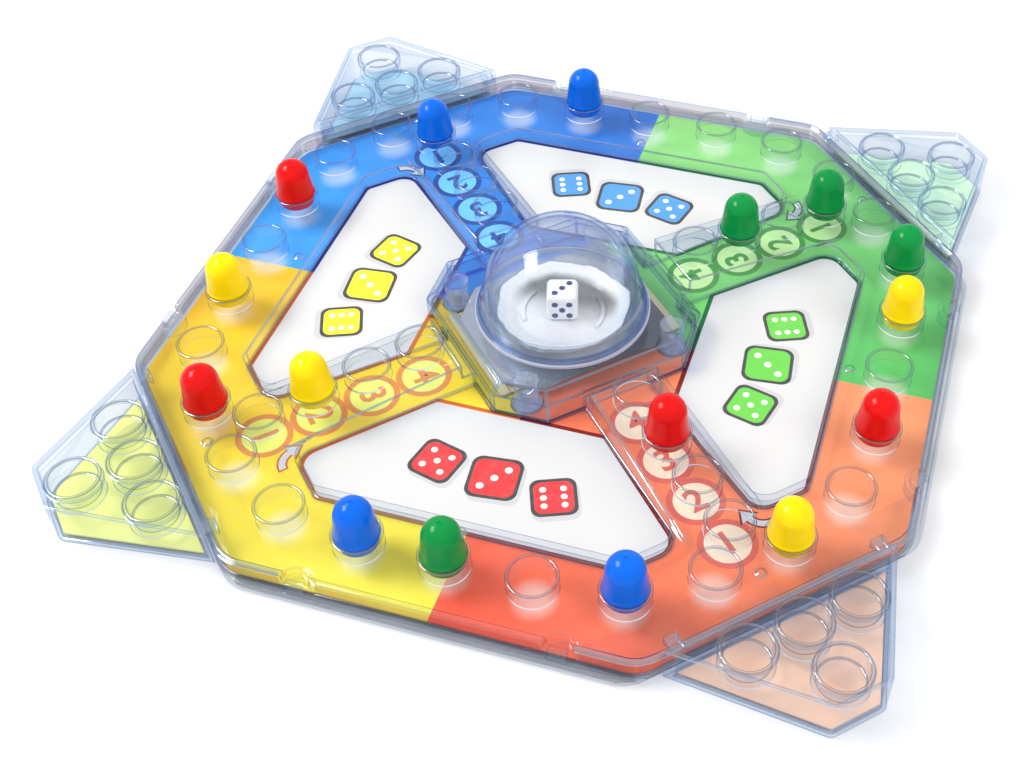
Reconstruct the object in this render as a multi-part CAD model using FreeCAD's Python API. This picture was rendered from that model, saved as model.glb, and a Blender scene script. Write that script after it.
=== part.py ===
"""Pop up dice board game: a clear moulded cover over a printed card, with a press dome
that throws a die in the middle, sockets for sixteen pegs and a clip-on tray at each corner.

Frame: origin on the table under the dome's centre, +X to the board's right side,
+Y to its back, +Z up. Sizes are millimetres. Side 0 is the front, and sides count
anticlockwise. Corner 0 is front left (yellow), then red, green and blue.
"""
import FreeCAD, Part
import math
import os
from FreeCAD import Rotation, Vector

SEAT_GAP = 0.1          # between a loose piece and what it stands on
FIT_GAP = 0.3           # between pieces that slide past each other
OVERCUT = 1.0           # how far a cutting shape runs past a face
FLAT = 0.01             # an edge that rises less than this lies flat

# Base tray and printed card
FLOOR_T = 1.6
FLANGE_OUT = 2.6        # flange beyond the cover's long walls
FLANGE_H = 3.4
FLANGE_ROUND = 1.2
CORNER_ROUND = 12.0     # rounding of the board's eight corners
CARD_T = 0.6
CARD_MARGIN = 0.4

# Clear top cover
WALL_T = 1.3
COVER_SIDE = 124.6      # board centre to the cover's long walls
COVER_CHAMFER = 131.6   # board centre to the cover's corner walls
PLATE_TOP = 8.3
RIDGE_INSET = 0.6
RIDGE_W = 1.2
RIDGE_H = 1.0
TRACK_BAND = 33.3       # width of the plate round the windows
ARM_START_IN = 28.4     # from the corner walls to the start of an arm's slope
ARM_END_OUT = 3.3       # from the dice housing to the slope's upper end
ARM_SLOPE = 0.0828
ARM_HALF_OUT = 13.6
ARM_HALF_IN = 12.0
MARK_R = 1.4            # moulding marks on the plate
MARK_H = 0.5
MARK_SIDE_OUT = 4.3
MARK_CORNER_IN = 10.8

# Window pockets
WINDOW_TIP_IN = 8.2     # a pocket's tip, inside the dice housing
WINDOW_ROUND = 6.0
WINDOW_CORNER_ROUND = 3.0

# Dice housing in the middle of the cover
HOUSING_SIDE_OUT = 7.1  # from the posts to the housing's long walls
HOUSING_CHAMFER_OUT = 0.7
HOUSING_WALL_TOP = 10.5
HOUSING_TOP = 13.6
HOUSING_BEVEL = 3.5
POST_R = 4.0
POST_OUT = 11.8         # from the dome's wall to the posts
POST_BASE = 3.4
SCREW_R = 1.3
SCREW_CLEAR = 0.05
SCREW_HEAD_R = 2.9
SCREW_HEAD_LOW = 0.2    # the head's face, sunk into the base
SCREW_HEAD_TOP = 1.2
SCREW_SLOT_HALF = 0.4
SCREW_SLOT_TOP = 0.7
SCREW_L = 6.0
SCREW_TIP_GAP = 1.0     # hole left above the screw's tip
BOSS_R = 5.0

# Press dome and what is under it
DOME_R = 25.7
DOME_T = 1.4
SKIRT_OUT = 1.2         # beyond the dome's wall
SKIRT_H = 4.4           # skirt above the dome's flange
DOME_FLANGE_OUT = 1.5   # beyond the skirt
DOME_FLANGE_T = 0.8
DOME_HOLE_GAP = 0.5
DISH_FLANGE_OUT = 0.5   # beyond the dome's flange
DISH_FLANGE_T = 1.2
DISH_IN = 5.2           # from the dome's wall to the dish's edge
DISH_SLOPE_W = 5.5
DISH_FLOOR = 8.0
DISH_T = 1.4
SPRING_POST_GAP = 0.5
SPRING_TRIM = 2.7       # how far the plate's ends lie inside the rails' outer edges
SPRING_TRIM_SIDE = 6.2  # how far its other two ends lie inside the same line
SPRING_T = 0.5
FRAME_T = 0.8
RAIL_W = 3.6
RAIL_TRIM = 12.0        # keeps the rails' ends clear of the screw bosses
RAIL_H = 1.6

# Die
DIE = 10.3
DIE_ROUND = 1.7
DIE_TURN = 16.4         # degrees
PIP_R = 1.05            # at the die's face
PIP_DEPTH = 0.35
PIP_PITCH = 2.35

# Sockets and pegs
SOCKET_R = 7.65
BORE_R = 6.65
SOCKET_H = 5.5
HOME_BORE = 4.8
TRACK_X = (0.0, 26.0, 51.65)
TRACK_IN = (16.95, 16.75, 20.1)    # from the cover's long walls
TRACK_CORNER_IN = 15.14            # the outermost rings, from the corner walls
TRACK_CORNER_ACROSS = 12.37
HOME_COUNT = 4          # rings on each arm
HOME_FIRST_OUT = 12.3   # from the dice housing
HOME_LAST_IN = 27.58    # from the corner walls
PEG_SKIRT_R = 6.9
PEG_SKIRT_H = 0.8
PEG_R = 6.35
PEG_H = 13.4            # above the socket's rim
PEG_TAPER = 0.6
PLUG_GAP = 0.5          # between a peg's plug and its socket's bore
PLUG_L = 4.0
PEG_DIMPLE_R = 0.8
PEG_DIMPLE_LIFT = 0.5   # the dimple's centre above the peg's top

# Snap tabs and their notches
CLIP_X = 38.5
NOTCH_R = 4.2
NOTCH_FLOOR = 5.6
TAB_HALF = 2.9
TAB_T = 1.1
TAB_TOP = 7.2
TAB_LIP = 1.4
TAB_LIP_T = 0.9

# Corner trays
TRAY_GAP = 0.5          # from the board's corner walls
TRAY_REACH = 37.4
TRAY_HALF_IN = 38.0
TRAY_HALF_OUT = 8.7
TRAY_H_IN = 12.0
TRAY_H_OUT = 15.2
TRAY_ROUND = 3.0
TRAY_CORNER_MIN = 0.5   # least rounding inside a tray's wall
TRAY_WALL = 1.4
TRAY_BEAD = 0.9         # how far the walls stand above the tray's top
HOOK_HALF = 2.2
HOOK_IN = 4.4           # from the tray's inner corners to the hooks' middles
HOOK_REACH = 4.2
HOOK_LIP = 1.0
TRAY_FLOOR_T = 1.2
WELL_R = 8.15
WELL_BORE_R = 7.05
WELL_DEPTH = 6.6
WELL_FLOOR_T = 1.0
WELL_PROUD = 0.9
WELL_CLEAR = 0.05       # round the wells and the tray's floor
WELL_ROW_OUT = 9.9      # from the tray's inner wall
WELL_PITCH = 17.97
WELL_OUTER_OUT = 27.6

# Which sockets hold a peg: side and place from -3 to 3, or corner and place 1 to 4
SIDES = ("front", "right", "back", "left")
CORNERS = ("yellow", "red", "green", "blue")
PEG_PLACES = {
    "yellow": "left 1, right -3, right 1, yellow 3",
    "red": "left -1, left 3, right -1, red 2",
    "green": "front 0, right 2, green 2, green 4",
    "blue": "front -1, front 2, back 1, blue 4",
}

CARD_TOP = FLOOR_T + CARD_T
RAIL_TOP = CARD_TOP + RAIL_H
FLANGE_SIDE = COVER_SIDE + FLANGE_OUT
WINDOW_SIDE = COVER_SIDE - TRACK_BAND
WINDOW_CHAMFER = COVER_CHAMFER - TRACK_BAND
SKIRT_R = DOME_R + SKIRT_OUT
DOME_FLANGE_R = SKIRT_R + DOME_FLANGE_OUT
DISH_FLANGE_R = DOME_FLANGE_R + DISH_FLANGE_OUT
PIP_BALL_R = (PIP_R ** 2 + PIP_DEPTH ** 2) / (2 * PIP_DEPTH)
DISH_R = DOME_R - DISH_IN
DISH_FLOOR_R = DISH_R - DISH_SLOPE_W
POST_PLACE = DOME_R + POST_OUT
HOUSING_SIDE = POST_PLACE + HOUSING_SIDE_OUT
HOUSING_CHAMFER = POST_PLACE + HOUSING_CHAMFER_OUT
WINDOW_TIP = HOUSING_CHAMFER - WINDOW_TIP_IN
ARM_START = COVER_CHAMFER - ARM_START_IN
ARM_END = HOUSING_CHAMFER + ARM_END_OUT
MARK_SIDE = WINDOW_SIDE + MARK_SIDE_OUT
MARK_CORNER = COVER_CHAMFER - MARK_CORNER_IN
SPRING_SIDE = POST_PLACE - POST_R - SPRING_POST_GAP
SPRING_ALONG = SPRING_SIDE - SPRING_TRIM
SPRING_ACROSS = SPRING_SIDE - SPRING_TRIM_SIDE
RAIL_HALF = SPRING_SIDE - RAIL_TRIM
PLUG_R = BORE_R - PLUG_GAP
HOME_FIRST = HOUSING_CHAMFER + HOME_FIRST_OUT
HOME_PITCH = (COVER_CHAMFER - HOME_LAST_IN - HOME_FIRST) / (HOME_COUNT - 1)
TRAY_IN = COVER_CHAMFER + TRAY_GAP
TRAY_OUT = TRAY_IN + TRAY_REACH
WELL_ROW = TRAY_IN + WELL_ROW_OUT
WELL_OUTER = TRAY_IN + WELL_OUTER_OUT
COVER_LOW = CARD_TOP + SEAT_GAP
RIM = PLATE_TOP + SOCKET_H
HOUSING_UNDER = HOUSING_TOP - WALL_T
FLANGE_TOP = HOUSING_UNDER - FIT_GAP          # top of the dome's flange at rest
DISH_TOP = FLANGE_TOP - DOME_FLANGE_T         # top of the white dish's flange
ROOT2 = math.sqrt(2.0)
FIRST_CORNER_TURN = 225.0    # degrees from +X to the front left corner
BIG = 400.0


def about_z(shape, degrees):
    """A copy of shape turned about the board's middle."""
    turned = shape.copy()
    turned.rotate(Vector(0, 0, 0), Vector(0, 0, 1), degrees)
    return turned


def to_side(shape, side):
    """A shape built at the front, moved to that side."""
    return about_z(shape, 90.0 * side)


def to_corner(shape, corner):
    """A shape built out along +X, moved to that corner's diagonal."""
    return about_z(shape, FIRST_CORNER_TURN + 90.0 * corner)


def side_point(side, x, y):
    """A point given at the front, on that side."""
    return Rotation(Vector(0, 0, 1), 90.0 * side).multVec(Vector(x, y, 0))


def corner_point(corner, along, across=0.0):
    """A point given along and across a diagonal, at that corner."""
    return Rotation(Vector(0, 0, 1), FIRST_CORNER_TURN + 90.0 * corner).multVec(Vector(along, across, 0))


def cylinder(radius, low, high, x=0.0, y=0.0):
    return Part.makeCylinder(radius, high - low, Vector(x, y, low))


def block(x0, x1, y0, y1, z0, z1):
    return Part.makeBox(x1 - x0, y1 - y0, z1 - z0, Vector(x0, y0, z0))


def outline(points, radii, z):
    """A closed wire through points at height z, each corner rounded by its radius."""
    count = len(points)
    starts, ends, middles = [], [], []
    for i, (point, radius) in enumerate(zip(points, radii)):
        here = Vector(point[0], point[1], z)
        before = Vector(*points[i - 1], z) - here
        after = Vector(*points[(i + 1) % count], z) - here
        before.normalize()
        after.normalize()
        half = before.getAngle(after) / 2.0
        reach = radius / math.tan(half)
        bisector = before + after
        bisector.normalize()
        starts.append(here + before * reach)
        ends.append(here + after * reach)
        middles.append(here + bisector * (radius / math.sin(half) - radius))
    edges = []
    for i in range(count):
        if radii[i] > 0:
            edges.append(Part.Arc(starts[i], middles[i], ends[i]).toShape())
        edges.append(Part.LineSegment(ends[i], starts[(i + 1) % count]).toShape())
    return Part.Wire(edges)


def prism(wire, height):
    return Part.Face(wire).extrude(Vector(0, 0, height))


def octagon(side, chamfer):
    """The eight corners of an octagon with walls at side and chamfer from its middle."""
    half = chamfer * ROOT2 - side
    front = [Vector(-half, -side, 0), Vector(half, -side, 0)]
    return [tuple(side_point(k, p.x, p.y))[:2] for k in range(4) for p in front]


def octagon_prism(side, chamfer, low, high, radius=0.0):
    return prism(outline(octagon(side, chamfer), [radius] * 8, low), high - low)


def window_points(grow):
    """The front window's outline, grown outwards: wide at the rim, narrow at the housing."""
    side = WINDOW_SIDE + grow
    chamfer = WINDOW_CHAMFER + grow
    half = chamfer * ROOT2 - side
    out = ARM_HALF_OUT - grow
    tip = ARM_HALF_IN - grow
    right = [
        (half, -side),
        ((chamfer - out) / ROOT2, -(chamfer + out) / ROOT2),
        ((WINDOW_TIP - tip) / ROOT2, -(WINDOW_TIP + tip) / ROOT2),
    ]
    left = [(-x, y) for x, y in reversed(right)]
    radii = [WINDOW_CORNER_ROUND, WINDOW_ROUND + grow, 0.0]
    return right + left, radii + radii[::-1]


def housing(grow, low, drop):
    """The housing's outer form, shrunk by grow and with its top lowered by drop."""
    side = HOUSING_SIDE - grow
    chamfer = HOUSING_CHAMFER - grow
    wall_top = HOUSING_WALL_TOP - drop
    walls = octagon_prism(side, chamfer, low, wall_top)
    foot = outline(octagon(side, chamfer), [0.0] * 8, wall_top)
    crown_points = octagon(side - HOUSING_BEVEL, chamfer - HOUSING_BEVEL)
    crown = outline(crown_points, [0.0] * 8, HOUSING_TOP - drop)
    return walls.fuse(Part.makeLoft([foot, crown], True, True))


def arm_wedge(grow, drop):
    """The raised, sloping top of one arm, built along +X."""
    rise = ARM_SLOPE * (ARM_START - ARM_END)
    low = PLATE_TOP - drop
    profile = [(ARM_END, low - WALL_T), (ARM_START, low - WALL_T), (ARM_START, low), (ARM_END, low + rise)]
    half = ARM_HALF_OUT - grow
    points = [Vector(x, -half, z) for x, z in profile]
    face = Part.Face(Part.makePolygon(points + points[:1]))
    return face.extrude(Vector(0, 2 * half, 0))


def cover_form(grow, low, drop):
    """The cover's outer form, or with grow and drop the hollow inside its walls."""
    form = octagon_prism(COVER_SIDE - grow, COVER_CHAMFER - grow, low, PLATE_TOP - drop, CORNER_ROUND - grow)
    form = form.fuse([to_corner(arm_wedge(grow, drop), k) for k in range(4)])
    keep = octagon_prism(HOUSING_SIDE - grow, HOUSING_CHAMFER - grow, low - OVERCUT, BIG)
    points, radii = window_points(grow)
    pocket = prism(outline(points, radii, low - OVERCUT), BIG).cut(keep)
    form = form.cut([to_side(pocket, k) for k in range(4)])
    return form.fuse(housing(grow, low, drop))


def make_cover():
    hollow = cover_form(WALL_T, COVER_LOW - OVERCUT, WALL_T)
    cover = cover_form(0.0, COVER_LOW, 0.0).cut(hollow)
    outer = (COVER_SIDE - RIDGE_INSET, COVER_CHAMFER - RIDGE_INSET)
    inner = (outer[0] - RIDGE_W, outer[1] - RIDGE_W)
    ridge = octagon_prism(*outer, PLATE_TOP, PLATE_TOP + RIDGE_H, CORNER_ROUND - RIDGE_INSET)
    ridge = ridge.cut(octagon_prism(*inner, PLATE_TOP - OVERCUT, BIG, CORNER_ROUND - RIDGE_INSET - RIDGE_W))
    added = [ridge]
    removed = [cylinder(SKIRT_R + DOME_HOLE_GAP, PLATE_TOP, BIG)]
    body = octagon_prism(COVER_SIDE, COVER_CHAMFER, COVER_LOW, PLATE_TOP, CORNER_ROUND)
    for k in range(4):
        post = side_point(k, 0, -POST_PLACE)
        added.append(cylinder(POST_R, POST_BASE + SEAT_GAP, HOUSING_UNDER, post.x, post.y))
        removed.append(cylinder(SCREW_R + SCREW_CLEAR, 0, SCREW_L + SCREW_TIP_GAP, post.x, post.y))
        mark = side_point(k, 0, -MARK_SIDE)
        added.append(cylinder(MARK_R, PLATE_TOP, PLATE_TOP + MARK_H, mark.x, mark.y))
        mark = corner_point(k, MARK_CORNER)
        added.append(cylinder(MARK_R, PLATE_TOP, PLATE_TOP + MARK_H, mark.x, mark.y))
        for x in (-CLIP_X, CLIP_X):
            clip = side_point(k, x, -COVER_SIDE)
            added.append(cylinder(NOTCH_R + WALL_T, COVER_LOW, PLATE_TOP, clip.x, clip.y).common(body))
            removed.append(cylinder(NOTCH_R, NOTCH_FLOOR, BIG, clip.x, clip.y))
    return cover.fuse(added).cut(removed).removeSplitter()


def make_base():
    """The floor with its flange, screw bosses and eight snap tabs."""
    flange = octagon_prism(FLANGE_SIDE, COVER_CHAMFER, 0, FLANGE_H, CORNER_ROUND)
    rims = [e for e in flange.Edges if e.BoundBox.ZMax - e.BoundBox.ZMin < FLAT]
    flange = flange.makeFillet(FLANGE_ROUND, rims)
    inner = octagon_prism(COVER_SIDE + FIT_GAP, COVER_CHAMFER + FIT_GAP, FLOOR_T, BIG, CORNER_ROUND)
    base = flange.cut(inner)
    for k in range(4):
        post = side_point(k, 0, -POST_PLACE)
        base = base.fuse(cylinder(BOSS_R, 0, POST_BASE, post.x, post.y))
        base = base.cut(cylinder(SCREW_R + SCREW_CLEAR, -OVERCUT, POST_BASE + OVERCUT, post.x, post.y))
        base = base.cut(cylinder(SCREW_HEAD_R + FIT_GAP, -OVERCUT, SCREW_HEAD_TOP + SEAT_GAP, post.x, post.y))
        near = COVER_SIDE + FIT_GAP
        for x in (-CLIP_X, CLIP_X):
            tab = block(x - TAB_HALF, x + TAB_HALF, -near - TAB_T, -near, FLANGE_H / 2, TAB_TOP)
            lip = block(x - TAB_HALF, x + TAB_HALF, -near, -near + TAB_LIP, TAB_TOP - TAB_LIP_T, TAB_TOP)
            base = base.fuse([to_side(tab, k), to_side(lip, k)])
    return base.removeSplitter()


def make_card():
    inset = WALL_T + CARD_MARGIN
    card = octagon_prism(COVER_SIDE - inset, COVER_CHAMFER - inset, FLOOR_T, CARD_TOP, CORNER_ROUND - inset)
    for k in range(4):
        post = side_point(k, 0, -POST_PLACE)
        card = card.cut(cylinder(BOSS_R + FIT_GAP, 0, BIG, post.x, post.y))
    return card


def socket(rim, low, bore_depth, x, y):
    """One ring for a peg, its bore going down bore_depth from the rim."""
    ring = cylinder(SOCKET_R, low, rim, x, y)
    return ring.cut(cylinder(BORE_R, rim - bore_depth, rim + OVERCUT, x, y))


def track_point(side, place):
    """A track ring's middle: three places along each side, and the outermost set from the corner walls."""
    step = abs(place)
    if step < len(TRACK_X):
        x, y = TRACK_X[step], COVER_SIDE - TRACK_IN[step]
    else:
        along = COVER_CHAMFER - TRACK_CORNER_IN
        x, y = (along - TRACK_CORNER_ACROSS) / ROOT2, (along + TRACK_CORNER_ACROSS) / ROOT2
    return side_point(side, math.copysign(x, place), -y)


def home_along(place):
    return HOME_FIRST + HOME_PITCH * (place - 1)


def arm_top(along):
    return PLATE_TOP + ARM_SLOPE * max(ARM_START - along, 0.0)


def home_rim(place):
    return arm_top(home_along(place)) + SOCKET_H


def make_track_sockets(side):
    rings = []
    for place in range(-3, 4):
        p = track_point(side, place)
        rings.append(socket(RIM, PLATE_TOP, SOCKET_H, p.x, p.y))
    return Part.makeCompound(rings)


def make_home_sockets(corner):
    """Four rings on the sloping arm, each foot cut to the slope."""
    under = arm_wedge(-SOCKET_R, 0.0).fuse(block(0, ARM_START + SOCKET_R, -BIG, BIG, 0, PLATE_TOP))
    rings = []
    for place in range(1, HOME_COUNT + 1):
        along = home_along(place)
        ring = socket(home_rim(place), PLATE_TOP, HOME_BORE, along, 0)
        rings.append(to_corner(ring.cut(under), corner))
    return Part.makeCompound(rings)


def lathe(profile):
    """A solid turned about +Z from (radius, height) pairs."""
    points = [Vector(r, 0, z) for r, z in profile]
    face = Part.Face(Part.makePolygon(points + points[:1]))
    return face.revolve(Vector(0, 0, 0), Vector(0, 0, 1), 360)


def make_peg(x, y, rim):
    """A peg standing on a socket's rim, with its plug inside."""
    seat = rim + SEAT_GAP
    top_r = PEG_R - PEG_TAPER
    centre = rim + PEG_H - top_r
    plug = cylinder(PLUG_R, seat - PLUG_L, seat)
    skirt = cylinder(PEG_SKIRT_R, seat, seat + PEG_SKIRT_H)
    body = Part.makeCone(PEG_R, top_r, centre - seat, Vector(0, 0, seat))
    head = Part.makeSphere(top_r, Vector(0, 0, centre), Vector(0, 0, 1), 0, 90, 360)
    peg = plug.fuse([skirt, body, head]).removeSplitter()
    peg = peg.cut(Part.makeSphere(PEG_DIMPLE_R, Vector(0, 0, rim + PEG_H + PEG_DIMPLE_LIFT)))
    peg.translate(Vector(x, y, 0))
    return peg


def make_dome():
    """Clear dome: a flange under the housing's top, a short skirt and a half sphere."""
    skirt_top = FLANGE_TOP + SKIRT_H
    flange = cylinder(DOME_FLANGE_R, DISH_TOP, FLANGE_TOP)
    skirt = cylinder(SKIRT_R, DISH_TOP, skirt_top)
    shoulder = Part.makeCone(SKIRT_R, DOME_R, SKIRT_R - DOME_R, Vector(0, 0, skirt_top))
    centre = Vector(0, 0, skirt_top + SKIRT_R - DOME_R)
    head = Part.makeSphere(DOME_R, centre, Vector(0, 0, 1), 0, 90, 360)
    hollow_r = DOME_R - DOME_T
    hollow = cylinder(hollow_r, DISH_TOP - OVERCUT, centre.z)
    hollow = hollow.fuse(Part.makeSphere(hollow_r, centre, Vector(0, 0, 1), 0, 90, 360))
    return flange.fuse([skirt, shoulder, head]).cut(hollow).removeSplitter()


def make_dish():
    """The white die floor: a flange under the dome's and a sunk middle."""
    return lathe([
        (0, DISH_FLOOR - DISH_T), (DISH_FLOOR_R, DISH_FLOOR - DISH_T),
        (DISH_R, DISH_TOP - DISH_FLANGE_T), (DISH_FLANGE_R, DISH_TOP - DISH_FLANGE_T),
        (DISH_FLANGE_R, DISH_TOP), (DISH_R, DISH_TOP), (DISH_FLOOR_R, DISH_FLOOR), (0, DISH_FLOOR),
    ])


def make_frame():
    """The white plate that stands on the card and carries the spring plate on two rails."""
    edge = SPRING_SIDE
    frame = block(-edge, edge, -RAIL_HALF, RAIL_HALF, CARD_TOP, CARD_TOP + FRAME_T)
    rails = [block(x, x + RAIL_W, -RAIL_HALF, RAIL_HALF, CARD_TOP, RAIL_TOP) for x in (-edge, edge - RAIL_W)]
    return to_corner(frame.fuse(rails).removeSplitter(), 0)


def make_spring_plate():
    """A steel plate bowed up between the rails until it meets the dish."""
    crown = DISH_FLOOR - DISH_T - SEAT_GAP - SPRING_T
    half = SPRING_ALONG
    low = RAIL_TOP + SEAT_GAP
    near = -SPRING_ACROSS
    lower = Part.Arc(Vector(-half, near, low), Vector(0, near, crown), Vector(half, near, low))
    upper = Part.Arc(Vector(half, near, low + SPRING_T), Vector(0, near, crown + SPRING_T),
                     Vector(-half, near, low + SPRING_T))
    right = Part.LineSegment(lower.EndPoint, upper.StartPoint)
    left = Part.LineSegment(upper.EndPoint, lower.StartPoint)
    edges = [curve.toShape() for curve in (lower, right, upper, left)]
    bowed = Part.Face(Part.Wire(edges)).extrude(Vector(0, 2 * SPRING_ACROSS, 0))
    side = SPRING_SIDE
    return to_corner(bowed, 0).common(block(-side, side, -side, side, 0, BIG))


def pips(count):
    """Places of a face's pips, in pitches across and up."""
    places = {1: [(0, 0)], 2: [(-1, -1), (1, 1)], 3: [(-1, -1), (0, 0), (1, 1)]}
    places[4] = [(-1, -1), (-1, 1), (1, -1), (1, 1)]
    places[5] = places[4] + places[1]
    places[6] = places[4] + [(-1, 0), (1, 0)]
    return places[count]


def make_die():
    half = DIE / 2.0
    die = block(-half, half, -half, half, -half, half)
    die = die.makeFillet(DIE_ROUND, die.Edges)
    faces = {
        3: Rotation(), 4: Rotation(Vector(1, 0, 0), 180),
        5: Rotation(Vector(1, 0, 0), 90), 2: Rotation(Vector(1, 0, 0), -90),
        1: Rotation(Vector(0, 1, 0), 90), 6: Rotation(Vector(0, 1, 0), -90),
    }
    dots = []
    for count, turn in faces.items():
        for u, v in pips(count):
            lift = half + PIP_BALL_R - PIP_DEPTH
            dots.append(Part.makeSphere(PIP_BALL_R, turn.multVec(Vector(u * PIP_PITCH, v * PIP_PITCH, lift))))
    die = die.cut(dots)
    die = about_z(die, DIE_TURN)
    die.translate(Vector(0, 0, DISH_FLOOR + SEAT_GAP + half))
    return die


def make_screws():
    screws = []
    for k in range(4):
        p = side_point(k, 0, -POST_PLACE)
        head = cylinder(SCREW_HEAD_R, SCREW_HEAD_LOW, SCREW_HEAD_TOP, p.x, p.y)
        shank = cylinder(SCREW_R, SCREW_HEAD_LOW, SCREW_L, p.x, p.y)
        half, reach = SCREW_SLOT_HALF, SCREW_HEAD_R
        slot = block(p.x - reach, p.x + reach, p.y - half, p.y + half, 0, SCREW_SLOT_TOP)
        cross = block(p.x - half, p.x + half, p.y - reach, p.y + reach, 0, SCREW_SLOT_TOP)
        screws.append(head.fuse(shank).cut([slot, cross]))
    return Part.makeCompound(screws)


def tray_points(grow):
    """A tray's plan, built along +X and shrunk by grow."""
    slant = math.hypot(TRAY_OUT - TRAY_IN, TRAY_HALF_IN - TRAY_HALF_OUT)
    edge = grow * slant / (TRAY_OUT - TRAY_IN)
    fall = (TRAY_HALF_IN - TRAY_HALF_OUT) / (TRAY_OUT - TRAY_IN)
    near = TRAY_HALF_IN - edge - fall * grow
    far = TRAY_HALF_OUT - edge + fall * grow
    return [(TRAY_IN + grow, -near), (TRAY_OUT - grow, -far), (TRAY_OUT - grow, far), (TRAY_IN + grow, near)]


def tray_rounds(grow):
    outer = max(TRAY_ROUND - grow, TRAY_CORNER_MIN)
    return [0.0, outer, outer, 0.0]


def tray_top(along):
    return TRAY_H_IN + (TRAY_H_OUT - TRAY_H_IN) * (along - TRAY_IN) / (TRAY_OUT - TRAY_IN)


def tray_form(grow, low, drop):
    """The tray's plan raised to its sloping top, the top lowered by drop."""
    form = prism(outline(tray_points(grow), tray_rounds(grow), low), BIG)
    ends = (0.0, BIG)
    points = [Vector(x, -BIG, tray_top(x) - drop) for x in ends]
    points += [Vector(x, -BIG, 2 * BIG) for x in reversed(ends)]
    above = Part.Face(Part.makePolygon(points + points[:1])).extrude(Vector(0, 2 * BIG, 0))
    return form.cut(above)


def well_places():
    return [(WELL_ROW, -WELL_PITCH), (WELL_ROW, 0.0), (WELL_ROW, WELL_PITCH), (WELL_OUTER, 0.0)]


def well_rim(along):
    return tray_top(along) - TRAY_BEAD + WELL_PROUD


def make_tray(corner):
    """A clear box, open below, with two hooks that hang it on the board's ridge."""
    tray = tray_form(0.0, 0.0, 0.0)
    tray = tray.cut(tray_form(TRAY_WALL, -OVERCUT, TRAY_BEAD + WALL_T))
    lip = tray_form(TRAY_WALL, 0.0, 0.0).cut(tray_form(TRAY_WALL, 0.0, TRAY_BEAD))
    tray = tray.cut(lip)
    for along, across in well_places():
        tray = tray.cut(cylinder(WELL_R + WELL_CLEAR, 0, BIG, along, across))
    hook_low = PLATE_TOP + RIDGE_H + FIT_GAP
    place = TRAY_HALF_IN - HOOK_IN
    for across in (-place, place):
        tip = TRAY_IN - HOOK_REACH
        left, right = across - HOOK_HALF, across + HOOK_HALF
        arm = block(tip, TRAY_IN, left, right, hook_low, TRAY_H_IN)
        tongue = block(tip, tip + HOOK_LIP, left, right, PLATE_TOP + FIT_GAP, hook_low)
        tray = tray.fuse([arm, tongue])
    return to_corner(tray.removeSplitter(), corner)


def make_tray_floor(corner):
    inset = TRAY_WALL + WELL_CLEAR
    return to_corner(prism(outline(tray_points(inset), tray_rounds(inset), 0.0), TRAY_FLOOR_T), corner)


def make_tray_card(corner):
    inset = TRAY_WALL + CARD_MARGIN
    return to_corner(prism(outline(tray_points(inset), tray_rounds(inset), TRAY_FLOOR_T), CARD_T), corner)


def make_wells(corner):
    cups = []
    for along, across in well_places():
        rim = well_rim(along)
        cup = cylinder(WELL_R, rim - WELL_DEPTH - WELL_FLOOR_T, rim, along, across)
        cup = cup.cut(cylinder(WELL_BORE_R, rim - WELL_DEPTH, rim + OVERCUT, along, across))
        cups.append(to_corner(cup, corner))
    return Part.makeCompound(cups)


def peg_places(colour):
    """Where a colour's pegs stand, as (side or corner, place) pairs."""
    pairs = [place.split() for place in PEG_PLACES[colour].split(",")]
    return [(where, int(number)) for where, number in pairs]


def peg_seat(where, number):
    """Where a peg stands: x, y and the rim's height."""
    if where in SIDES:
        p = track_point(SIDES.index(where), number)
        return p.x, p.y, RIM
    p = corner_point(CORNERS.index(where), home_along(number))
    return p.x, p.y, home_rim(number)


def make_parts():
    parts = {"base_tray": make_base(), "printed_card": make_card(), "top_cover": make_cover()}
    for k, side in enumerate(SIDES):
        parts["track_sockets_" + side] = make_track_sockets(k)
    for k, colour in enumerate(CORNERS):
        parts["home_sockets_" + colour] = make_home_sockets(k)
        parts["corner_tray_" + colour] = make_tray(k)
        parts["corner_floor_" + colour] = make_tray_floor(k)
        parts["corner_card_" + colour] = make_tray_card(k)
        parts["corner_wells_" + colour] = make_wells(k)
        for number, place in enumerate(peg_places(colour), 1):
            parts["peg_%s_%d" % (colour, number)] = make_peg(*peg_seat(*place))
    parts["housing_screws"] = make_screws()
    parts["spring_frame"] = make_frame()
    parts["spring_plate"] = make_spring_plate()
    parts["die_dish"] = make_dish()
    parts["dome"] = make_dome()
    parts["die"] = make_die()
    return parts


os.makedirs("parts", exist_ok=True)
for name, shape in make_parts().items():
    shape.exportStep("parts/%s.step" % name)
    print(name, len(shape.Solids), "solids", round(shape.Volume, 1), "mm3", shape.isValid())
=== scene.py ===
"""Looks for the pop up dice board game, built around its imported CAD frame.

Every length in this file is in millimetres until put() or a mesh helper turns it into metres.
The axes are the CAD's own: origin on the table under the dome, +X to the board's right side,
+Y to its back, +Z up.
"""

from functools import partialmethod, reduce
from math import copysign, cos, hypot, pi, radians, sin, sqrt, tan

import bmesh
import bpy
from bpy.props import FloatProperty, FloatVectorProperty, PointerProperty
from mathutils import Matrix, Vector


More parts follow.
